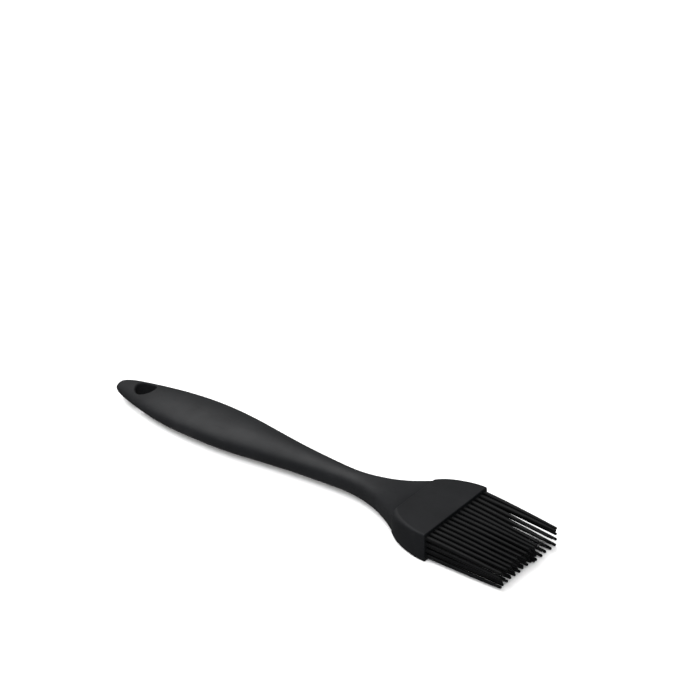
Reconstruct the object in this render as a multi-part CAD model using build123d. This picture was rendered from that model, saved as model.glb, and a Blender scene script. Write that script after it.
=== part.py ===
from build123d import *
import math
import os

# Pastry brush with a silicone head, in millimetres. It lies flat on its belly.
# +X runs from the hanging hole to the bristle tips, +Y across the head, +Z up.
# The origin is the middle of the overall box, on the plane the brush lies on.

# Overall sizes
overall_length = 225.0
handle_length = 165.6
boot_length = 21.2
head_width = 44.4
head_thickness = 13.5

tail_x = -overall_length / 2
seam_x = tail_x + handle_length
mouth_x = seam_x + boot_length
tip_x = overall_length / 2
head_height = head_thickness / 2

# Handle stations: distance from the tail, half width, half thickness, height of the
# section's middle, and squareness (2 is an ellipse, more is closer to a rectangle)
handle_stations = [
    (0.0, 2.6, 1.7, 5.7, 2.0),
    (1.6, 3.8, 2.5, 5.7, 2.0),
    (4.8, 5.2, 3.4, 5.7, 2.0),
    (10.8, 7.0, 4.2, 5.7, 2.0),
    (20.8, 9.5, 5.0, 5.7, 2.0),
    (35.0, 11.9, 5.7, 5.8, 2.1),
    (51.0, 12.8, 6.1, 6.15, 2.1),
    (69.0, 12.1, 6.1, 6.15, 2.1),
    (89.0, 9.4, 5.6, 6.2, 2.1),
    (107.0, 7.1, 5.1, 6.3, 2.1),
    (122.0, 5.7, 4.8, 6.4, 2.2),
    (134.0, 5.2, 4.8, 6.5, 2.3),
    (144.0, 6.4, 5.2, 6.6, 2.7),
    (152.5, 9.0, 5.8, 6.6, 3.1),
    (159.5, 12.3, 6.2, 6.7, 3.8),
    (handle_length, 16.1, 6.5, head_height, 4.7),
]
points_per_section = 32
tail_round_r = 1.5

# Hanging hole through the tail
hole_x = tail_x + 15.9
hole_r = 4.8
hole_rim_r = 0.8
hole_wall = 1.5

# Fits
socket_clearance = 0.08
butt_gap = 0.10
bristle_gap = 0.30

# Boot stations: distance from the seam, half width, and radius of the four long edges
boot_stations = [
    (butt_gap, 16.6, 4.6),
    (4.0, 18.8, 3.0),
    (10.3, 20.9, 1.9),
    (15.5, 21.9, 1.3),
    (boot_length, head_width / 2, 1.1),
]
boot_crown = 0.02
boot_mouth_r = 0.4
boot_rear_r = 0.3

# Nylon core: a flat spine from near the hanging hole, a spade and a tongue
core_thickness = 5.0
spine_start_x = hole_x + hole_r + hole_wall
spine_width = 6.4
spade_length = 22.6
spade_start_x = seam_x - spade_length
spade_mid_x = seam_x - 0.37 * spade_length
spade_mid_half = 7.0
tongue_width = 27.0
tongue_tip_width = 25.0
tongue_length = 15.0
tongue_corner_r = 2.5

# Bristles: rows are counted from the top one down
row_count = 4
column_count = 15
row_pitch = 2.9
column_pitch = 2.9
bristle_length = tip_x - mouth_x - bristle_gap
bristle_root_d = 2.1
bristle_tip_d = 1.2
top_row_droop = 2.2
droop_step = 0.3
side_taper = 0.06


def section_wire(x, half_width, half_thickness, middle, squareness):
    """A closed superellipse across the handle at x."""
    points = []
    for index in range(points_per_section):
        angle = 2 * math.pi * (index + 0.5) / points_per_section
        across = math.cos(angle)
        up = math.sin(angle)
        y = half_width * math.copysign(abs(across) ** (2 / squareness), across)
        z = half_thickness * math.copysign(abs(up) ** (2 / squareness), up)
        points.append(Vector(x, y, middle + z))
    return Wire([Edge.make_spline(points, periodic=True)])


def handle_outside():
    """The outside of the handle from the rounded tail to the seam."""
    wires = [section_wire(tail_x + t, *size) for t, *size in handle_stations]
    body = Solid.make_loft(wires)
    tail_edges = body.edges().group_by(Axis.X)[0]
    return body.fillet(tail_round_r, tail_edges)


def core_plan():
    """The core's plan from the end of the spine to the seam, made from its left half."""
    half_spine = spine_width / 2
    flare = Spline(
        (spade_start_x, half_spine),
        (spade_mid_x, spade_mid_half),
        (seam_x, tongue_width / 2),
        tangents=[(1, 0), (1, 1)],
    )
    start = (spine_start_x, 0)
    edge = Polyline(start, (spine_start_x, half_spine), (spade_start_x, half_spine))
    close = Polyline((seam_x, tongue_width / 2), (seam_x, 0), start)
    half = make_face(edge.edges() + flare.edges() + close.edges())
    return half + mirror(half, Plane.XZ)


def tongue(grow=0.0):
    """The flat tapered tongue, from the seam into the boot, grown on every side by grow."""
    half_root = tongue_width / 2 + grow
    half_tip = tongue_tip_width / 2 + grow
    end_x = seam_x + tongue_length + grow
    right_side = [(seam_x, -half_root), (end_x, -half_tip)]
    left_side = [(end_x, half_tip), (seam_x, half_root)]
    plan = make_face(Polyline(right_side + left_side, close=True))
    plan = fillet(plan.vertices().group_by(Axis.X)[-1], tongue_corner_r)
    thickness = core_thickness + 2 * grow
    return extrude(Pos(0, 0, head_height - thickness / 2) * plan, thickness)


def handle_core():
    """The stiff core: a spine, a spade and the tongue."""
    spine = extrude(Pos(0, 0, head_height - core_thickness / 2) * core_plan(), core_thickness)
    return spine + tongue()


def hanging_hole():
    """The round bore through the tail."""
    return Pos(hole_x, 0, 0) * Cylinder(hole_r, 4 * head_thickness)


def handle_grip():
    """The soft skin of the handle, with the rounded hanging hole and room for the core."""
    skin = handle_outside() - hanging_hole()
    curves = skin.edges().filter_by(GeomType.BSPLINE)
    rims = curves.filter_by(lambda edge: abs(edge.bounding_box().center().X - hole_x) < hole_rim_r)
    return fillet(rims, hole_rim_r) - handle_core()


def boot_outside():
    """The outside of the boot, rounder at the seam than at the mouth, cut flat above and below."""
    crowned_thickness = head_thickness + 2 * boot_crown
    sections = []
    for distance, half_width, edge_r in boot_stations:
        middle = (seam_x + distance, 0, head_height)
        across = Plane(origin=middle, x_dir=(0, 1, 0), z_dir=(1, 0, 0))
        sections.append(across * RectangleRounded(2 * half_width, crowned_thickness, edge_r))
    slab = Box(2 * boot_length, 2 * head_width, head_thickness)
    return loft(sections) & Pos((seam_x + mouth_x) / 2, 0, head_height) * slab


def head_boot():
    """The boot, with rounded ends and the socket for the tongue."""
    boot = boot_outside()
    boot = fillet(boot.edges().group_by(Axis.X)[-1], boot_mouth_r)
    boot = fillet(boot.edges().group_by(Axis.X)[0], boot_rear_r)
    return boot - tongue(socket_clearance)


def bristle():
    """One tapered filament along +X, its root dome centred on the origin."""
    root_r = bristle_root_d / 2
    tip_r = bristle_tip_d / 2
    tip_centre = bristle_length - root_r - tip_r
    root_dome = CenterArc((0, 0), root_r, 90, 90)
    side = Line((0, root_r), (tip_centre, tip_r))
    tip_dome = CenterArc((tip_centre, 0), tip_r, 0, 90)
    axis = Line((-root_r, 0), (tip_centre + tip_r, 0))
    profile = make_face([root_dome, side, tip_dome, axis])
    return revolve(profile, Axis.X)


def bristle_row(row):
    """One row of bristles across the mouth, drooping and closing in towards the tips."""
    root_x = mouth_x + bristle_gap + bristle_root_d / 2
    height = head_height + row_pitch * ((row_count - 1) / 2 - row)
    droop = top_row_droop - droop_step * row
    filament = bristle()
    solids = []
    for column in range(column_count):
        across = column_pitch * (column - (column_count - 1) / 2)
        turn = -math.degrees(math.atan(side_taper * across / bristle_length))
        solids.append(Location((root_x, across, height), (0, droop, turn)) * filament)
    return Compound(children=solids)


os.makedirs("parts", exist_ok=True)
export_step(handle_core(), "parts/handle_core.step")
export_step(handle_grip(), "parts/handle_grip.step")
export_step(head_boot(), "parts/head_boot.step")
for row in range(row_count):
    export_step(bristle_row(row), f"parts/bristle_row_{row + 1}.step")
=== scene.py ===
import bpy
import math
import random
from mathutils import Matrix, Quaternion, Vector


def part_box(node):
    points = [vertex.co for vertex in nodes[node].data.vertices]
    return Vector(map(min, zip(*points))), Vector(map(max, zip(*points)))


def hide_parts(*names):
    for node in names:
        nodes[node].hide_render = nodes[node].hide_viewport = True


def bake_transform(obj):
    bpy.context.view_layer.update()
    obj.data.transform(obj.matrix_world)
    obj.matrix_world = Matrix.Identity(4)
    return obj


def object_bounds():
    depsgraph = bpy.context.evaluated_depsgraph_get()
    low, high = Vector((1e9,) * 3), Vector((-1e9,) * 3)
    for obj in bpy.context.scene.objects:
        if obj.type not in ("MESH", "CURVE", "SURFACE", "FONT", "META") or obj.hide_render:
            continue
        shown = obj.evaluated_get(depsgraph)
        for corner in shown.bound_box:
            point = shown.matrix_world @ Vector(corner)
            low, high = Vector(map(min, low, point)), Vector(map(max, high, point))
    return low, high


# Pastry brush with a silicone head, in metres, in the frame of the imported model:
# +X runs from the hanging hole to the bristle tips, +Y across the head, +Z up.
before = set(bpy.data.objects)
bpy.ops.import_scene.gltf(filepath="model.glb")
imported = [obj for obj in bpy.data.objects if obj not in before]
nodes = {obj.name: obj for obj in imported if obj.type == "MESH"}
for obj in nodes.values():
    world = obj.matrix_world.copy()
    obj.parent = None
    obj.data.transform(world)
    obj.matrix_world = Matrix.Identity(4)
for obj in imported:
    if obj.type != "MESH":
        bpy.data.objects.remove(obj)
cad_low, cad_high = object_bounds()
mm = 0.001

# Places read from the frame
grip_low, grip_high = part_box("handle_grip")
boot_low, boot_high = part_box("head_boot")
mouth_x = boot_high.x
tip_x = cad_high.x
head_height = (boot_low.z + boot_high.z) / 2

# Bristles: rows are counted from the top one down, columns from -Y to +Y
row_count = 4
column_count = 15
row_pitch = 2.9 * mm
column_pitch = 2.9 * mm
root_r = 1.05 * mm
tip_r = 0.60 * mm
taper_power = 1.3
collar_r = 1.35 * mm
collar_length = 0.7 * mm
root_depth = 0.5 * mm

# The far columns lean in together, the near ones stay nearly straight, and the change
# takes a few columns. Leans (in Y) and drops are those of the tips, in millimetres.
change_start = 7.3
change_columns = 3
far_column = 10
far_lean = -3.0
far_column_step = 0.38
far_row_step = 0.1
far_drop = 1.5
stray_bristle = (0, column_count - 2)
stray_lean = 1.6
near_leans = (-0.5, -1.1, 0.6, -0.5)
near_drops = (1.5, 1.1, 1.2, 0.4)
edge_row_step = 0.3

# How a bristle curves, and how much they differ from each other, in millimetres
lean_power = 1.28
drop_power = 1.3
row_shortening = 0.4
length_scatter = 0.9
lean_scatter = 0.06
drop_scatter = 0.08
sway_scatter = 0.08
sway_turn = 5
first_seed = 40

# Mesh of a bristle: rings crowd towards the root, where the collar is
ring_points = 20
rings_along = 40
ring_crowding = 1.5
tip_rings = 6
tangent_step = 0.002

# Moulded surfaces: long thin handling marks, a mottled colour and smudged polish.
# The levels are those of the noise where a mark begins and where it is full.
mark_width = 0.9 * mm
mark_stretch = (14, 1, 1)
mark_colour_levels = (0.64, 0.76)
mark_colour_share = 0.35
mark_polish_levels = (0.60, 0.72)
mark_roughness = 0.08
mottle_size = 14 * mm
smudge_size = 9 * mm
bump_strength = 0.5
tint_positions = (0.3, 0.65, 1.0)

# The grip is rubbed smooth between two places along its length and rougher at its ends
belly_start = 0.30
belly_end = 0.80
tail_roughness = 0.24
flare_roughness = 0.40

# Studio
floor_size = 8
floor_tone = 0.9
camera_reach = 20


# ---------- Materials ----------

def new_material(name):
    """An empty Principled material with its nodes, links and shader."""
    material = bpy.data.materials.new(name)
    material.use_nodes = True
    tree = material.node_tree
    tree.nodes.clear()
    output = tree.nodes.new("ShaderNodeOutputMaterial")
    shader = tree.nodes.new("ShaderNodeBsdfPrincipled")
    tree.links.new(shader.outputs["BSDF"], output.inputs["Surface"])
    return material, tree, shader


def noise(tree, size, detail=3.0, stretch=(1, 1, 1)):
    """A noise of the given grain size in metres, fixed to the object."""
    where = tree.nodes.new("ShaderNodeTexCoord")
    mapping = tree.nodes.new("ShaderNodeMapping")
    mapping.inputs["Scale"].default_value = [1 / (size * s) for s in stretch]
    texture = tree.nodes.new("ShaderNodeTexNoise")
    texture.inputs["Scale"].default_value = 1.0
    texture.inputs["Detail"].default_value = detail
    tree.links.new(where.outputs["Object"], mapping.inputs["Vector"])
    tree.links.new(mapping.outputs["Vector"], texture.inputs["Vector"])
    return texture.outputs["Fac"]


def spread(tree, value, low, high, start=0.3, end=0.7):
    """Maps start..end of a value onto low..high and holds it there."""
    node = tree.nodes.new("ShaderNodeMapRange")
    node.inputs["From Min"].default_value = start
    node.inputs["From Max"].default_value = end
    node.inputs["To Min"].default_value = low
    node.inputs["To Max"].default_value = high
    tree.links.new(value, node.inputs["Value"])
    return node.outputs["Result"]


def added(tree, first, second):
    """The sum of two patterns."""
    node = tree.nodes.new("ShaderNodeMath")
    node.operation = "ADD"
    tree.links.new(first, node.inputs[0])
    tree.links.new(second, node.inputs[1])
    return node.outputs["Value"]


def ramp(tree, value, positions, colours):
    """A colour that runs through the given colours at the given positions of a value."""
    node = tree.nodes.new("ShaderNodeValToRGB")
    for position in positions[1:-1]:
        node.color_ramp.elements.new(position)
    for stop, position, colour in zip(node.color_ramp.elements, positions, colours):
        stop.position = position
        stop.color = (*colour, 1)
    tree.links.new(value, node.inputs["Fac"])
    return node.outputs["Color"]


def moulded(name, colours, polish, grain, depth, specular):
    """Moulded soft plastic: mottled colour, uneven polish, a fine grain and handling marks."""
    material, tree, shader = new_material(name)
    marks = noise(tree, mark_width, 2.0, mark_stretch)
    pale_marks = spread(tree, marks, 0, mark_colour_share, *mark_colour_levels)
    mottle = added(tree, noise(tree, mottle_size), pale_marks)
    tree.links.new(ramp(tree, mottle, tint_positions, colours), shader.inputs["Base Color"])
    smudges = spread(tree, noise(tree, smudge_size, 5.0), *polish)
    rubbed = spread(tree, marks, 0, mark_roughness, *mark_polish_levels)
    tree.links.new(added(tree, smudges, rubbed), shader.inputs["Roughness"])
    bump = tree.nodes.new("ShaderNodeBump")
    bump.inputs["Strength"].default_value = bump_strength
    bump.inputs["Distance"].default_value = depth
    tree.links.new(noise(tree, grain, 2.0), bump.inputs["Height"])
    tree.links.new(bump.outputs["Normal"], shader.inputs["Normal"])
    shader.inputs["Specular IOR Level"].default_value = specular
    return material


def dullness(tree):
    """How much rougher the grip is along its length: hands rub its belly, not its ends."""
    where = tree.nodes.new("ShaderNodeTexCoord")
    split = tree.nodes.new("ShaderNodeSeparateXYZ")
    tree.links.new(where.outputs["Object"], split.inputs["Vector"])
    along = spread(tree, split.outputs["X"], 0, 1, grip_low.x, grip_high.x)
    rises = (tail_roughness, 0, 0, flare_roughness)
    greys = [(rise, rise, rise) for rise in rises]
    return ramp(tree, along, (0, belly_start, belly_end, 1), greys)


def grip_skin():
    """Soft black rubber with a satin finish."""
    colours = ((0.0040, 0.0043, 0.0050), (0.0062, 0.0066, 0.0075), (0.015, 0.015, 0.016))
    material = moulded(
        "grip_skin", colours, polish=(0.50, 0.58), grain=0.35 * mm, depth=0.03 * mm, specular=0.21
    )
    tree = material.node_tree
    roughness = tree.nodes["Principled BSDF"].inputs["Roughness"]
    tree.links.new(added(tree, roughness.links[0].from_socket, dullness(tree)), roughness)
    return material


def boot_silicone():
    """Black silicone, a little duller than the grip."""
    colours = ((0.0036, 0.0039, 0.0045), (0.0056, 0.0060, 0.0068), (0.012, 0.012, 0.013))
    return moulded(
        "boot_silicone", colours, polish=(0.50, 0.58), grain=0.30 * mm, depth=0.02 * mm, specular=0.110
    )


def bristle_silicone():
    """Silicone like the boot's, with painted shade: its colours are darker to stand in for the shade the
    bristles cast on each other.
    """
    # Painted shade: these colours are darker than the boot's because the bristles shade each other, not
    # because the silicone differs.
    colours = ((0.0016, 0.0017, 0.0019), (0.0028, 0.0029, 0.0032), (0.007, 0.007, 0.007))
    return moulded(
        "bristle_silicone", colours, polish=(0.45, 0.55), grain=0.25 * mm, depth=0.01 * mm, specular=0.09
    )


def core_nylon():
    """Hard dark grey nylon."""
    colours = ((0.030, 0.030, 0.032), (0.042, 0.042, 0.044), (0.060, 0.060, 0.062))
    return moulded(
        "core_nylon", colours, polish=(0.38, 0.50), grain=0.5 * mm, depth=0.03 * mm, specular=0.5
    )


def paint(obj, material):
    """Gives the object this material and no other."""
    obj.data.materials.clear()
    obj.data.materials.append(material)


# ---------- Bristles ----------

def row_height(row):
    """The height of a row's roots."""
    return head_height + row_pitch * ((row_count - 1) / 2 - row)


def far_share(column):
    """How much a column belongs to the far group that leans in together, from 0 to 1."""
    share = min(1, max(0, (column - change_start) / change_columns))
    return share * share * (3 - 2 * share)


def lean(row, column):
    """How far a tip stands from straight ahead, in Y."""
    far = far_lean + far_column_step * (column - far_column) + far_row_step * row
    if (row, column) == stray_bristle:
        far += stray_lean
    near = near_leans[row]
    if column == 0:
        near += edge_row_step * row
    share = far_share(column)
    return (share * far + (1 - share) * near) * mm


def droop(row, column):
    """How far a tip hangs below its root. The near side closes down on its bottom row."""
    share = far_share(column)
    return (share * far_drop + (1 - share) * near_drops[row]) * mm


def profile(along, length):
    """The radius at a distance along a bristle, collar and taper, without the round tip."""
    radius = root_r + (tip_r - root_r) * (along / length) ** taper_power
    rise = min(1, max(0, 1 - (along - root_depth) / collar_length))
    return radius + (collar_r - root_r) * (1 - math.sqrt(max(0, 1 - rise * rise)))


def centre_line(row, column, shape):
    """A function from 0..1 to the middle of the bristle, and the bristle's length."""
    across = column_pitch * (column - (column_count - 1) / 2)
    root = Vector((mouth_x - root_depth, across, row_height(row)))
    shorter = row_shortening * row + shape.uniform(0.0, length_scatter)
    length = tip_x - root.x - shorter * mm
    side = lean(row, column) + shape.gauss(0, lean_scatter) * mm
    drop = droop(row, column) + shape.gauss(0, drop_scatter) * mm
    sway = shape.gauss(0, sway_scatter) * mm
    phase = shape.uniform(0, 2 * math.pi)

    def point(t):
        wave = sway * t * math.sin(phase + sway_turn * t)
        y = side * t ** lean_power + wave
        z = -drop * t ** drop_power + wave / 2
        return root + Vector((length * t, y, z))

    return point, length


def add_ring(vertices, middle, along, radius):
    """One ring of points square to the direction along."""
    up = Vector((0, 0, 1))
    side = up.cross(along).normalized()
    top = along.cross(side).normalized()
    for index in range(ring_points):
        angle = 2 * math.pi * index / ring_points
        vertices.append(middle + radius * (math.cos(angle) * side + math.sin(angle) * top))


def add_faces(faces, first, ring_total, tip, root):
    """The skin over rings of points from first on, closed by one point at each end."""
    for ring in range(ring_total - 1):
        for index in range(ring_points):
            a = first + ring * ring_points + index
            b = first + ring * ring_points + (index + 1) % ring_points
            faces.append((a, b, b + ring_points, a + ring_points))
    last = first + (ring_total - 1) * ring_points
    for index in range(ring_points):
        after = (index + 1) % ring_points
        faces.append((last + index, last + after, tip))
        faces.append((first + after, first + index, root))


def add_bristle(vertices, faces, row, column, shape):
    """One filament as a closed tube with a round tip."""
    point, length = centre_line(row, column, shape)
    first = len(vertices)
    end_t = 1 - tip_r / length
    for i in range(rings_along + 1):
        t = end_t * (i / rings_along) ** ring_crowding
        along = (point(t + tangent_step) - point(t)).normalized()
        add_ring(vertices, point(t), along, profile(t * length, length))
    end = point(end_t)
    along = (end - point(end_t - tangent_step)).normalized()
    end_r = profile(end_t * length, length)
    for i in range(1, tip_rings):
        angle = math.pi / 2 * i / tip_rings
        add_ring(vertices, end + along * end_r * math.sin(angle), along, end_r * math.cos(angle))
    tip = len(vertices)
    vertices.append(end + along * end_r)
    root = len(vertices)
    vertices.append(point(0))
    add_faces(faces, first, rings_along + tip_rings, tip, root)


def bristle_row(row, material):
    """All the bristles of one row as one piece that bends out of the boot."""
    shape = random.Random(first_seed + row)
    vertices, faces = [], []
    for column in range(column_count):
        add_bristle(vertices, faces, row, column, shape)
    name = f"bristles_{row + 1}"
    mesh = bpy.data.meshes.new(name)
    mesh.from_pydata(vertices, [], faces)
    mesh.update()
    mesh.shade_smooth()
    obj = bpy.data.objects.new(name, mesh)
    bpy.context.scene.collection.objects.link(obj)
    paint(obj, material)
    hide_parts(f"bristle_row_{row + 1}")
    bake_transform(obj)


# ---------- Studio ----------

def fade_out(tree, shader, near, far):
    """Makes a surface transparent from a distance of near to far from its middle."""
    where = tree.nodes.new("ShaderNodeTexCoord")
    distance = tree.nodes.new("ShaderNodeVectorMath")
    distance.operation = "LENGTH"
    tree.links.new(where.outputs["Object"], distance.inputs[0])
    clear = tree.nodes.new("ShaderNodeBsdfTransparent")
    mix = tree.nodes.new("ShaderNodeMixShader")
    tree.links.new(spread(tree, distance.outputs["Value"], 0, 1, near, far), mix.inputs["Fac"])
    tree.links.new(shader.outputs["BSDF"], mix.inputs[1])
    tree.links.new(clear.outputs["BSDF"], mix.inputs[2])
    output = tree.nodes["Material Output"]
    tree.links.new(mix.outputs["Shader"], output.inputs["Surface"])


def add_floor():
    """A pale floor that the brush lies on, fading into the backdrop."""
    material, tree, shader = new_material("floor")
    shader.inputs["Base Color"].default_value = (floor_tone, floor_tone, floor_tone, 1)
    shader.inputs["Roughness"].default_value = 0.9
    shader.inputs["Specular IOR Level"].default_value = 0.0
    fade_out(tree, shader, near=0.35, far=0.80)
    bpy.ops.mesh.primitive_plane_add(size=floor_size, location=(0, 0, cad_low.z))
    floor = bpy.context.object
    floor.name = "floor"
    floor.visible_glossy = False
    paint(floor, material)


def add_light(name, place, size, power, sheen=True):
    """A soft square lamp turned to the origin, that shows in glossy surfaces if sheen is set."""
    data = bpy.data.lights.new(name, "AREA")
    data.size = size
    data.energy = power
    lamp = bpy.data.objects.new(name, data)
    bpy.context.scene.collection.objects.link(lamp)
    lamp.visible_glossy = sheen
    lamp.location = place
    lamp.rotation_mode = "QUATERNION"
    lamp.rotation_quaternion = (-Vector(place)).to_track_quat("-Z", "Y")


def add_world(fill, backdrop):
    """Dim fill light from all round, and a white backdrop where the camera sees past the floor."""
    world = bpy.data.worlds.new("studio")
    world.use_nodes = True
    tree = world.node_tree
    background = tree.nodes["Background"]
    background.inputs["Color"].default_value = (1, 1, 1, 1)
    ray = tree.nodes.new("ShaderNodeLightPath")
    strength = tree.nodes.new("ShaderNodeMapRange")
    strength.inputs["To Min"].default_value = fill
    strength.inputs["To Max"].default_value = backdrop
    tree.links.new(ray.outputs["Is Camera Ray"], strength.inputs["Value"])
    tree.links.new(strength.outputs["Result"], background.inputs["Strength"])
    bpy.context.scene.world = world


def add_camera(azimuth, elevation, roll, distance, target, lens):
    """A camera that looks at target. Azimuth 0 looks along +Y; the angles are in degrees."""
    turn = math.radians(azimuth)
    rise = math.radians(elevation)
    level_reach = math.cos(rise)
    back = Vector((math.sin(turn) * level_reach, -math.cos(turn) * level_reach, math.sin(rise)))
    camera = bpy.data.objects.new("camera", bpy.data.cameras.new("camera"))
    bpy.context.scene.collection.objects.link(camera)
    camera.data.lens = lens
    camera.data.clip_end = camera_reach
    camera.location = target + distance * back
    camera.rotation_mode = "QUATERNION"
    level = (-back).to_track_quat("-Z", "Y")
    camera.rotation_quaternion = Quaternion(back, math.radians(-roll)) @ level
    bpy.context.scene.camera = camera


paint(nodes["handle_core"], core_nylon())
paint(nodes["handle_grip"], grip_skin())
paint(nodes["head_boot"], boot_silicone())
# The bristles' silicone has painted shade in its darker colours.
silicone = bristle_silicone()
for row in range(row_count):
    bristle_row(row, silicone)

add_floor()
add_light("key", place=(-1.00, 0.00, 1.60), size=2.4, power=66)
add_light("shadow_fill", place=(0.80, -1.20, 1.20), size=2.0, power=50, sheen=False)
add_world(fill=0.24, backdrop=1.0)
view_target = Vector((-0.0469, 0.0844, head_height))
add_camera(azimuth=38.33, elevation=30.87, roll=0.85, distance=1.2121, target=view_target, lens=135.87)
bpy.context.scene.view_settings.view_transform = "Standard"
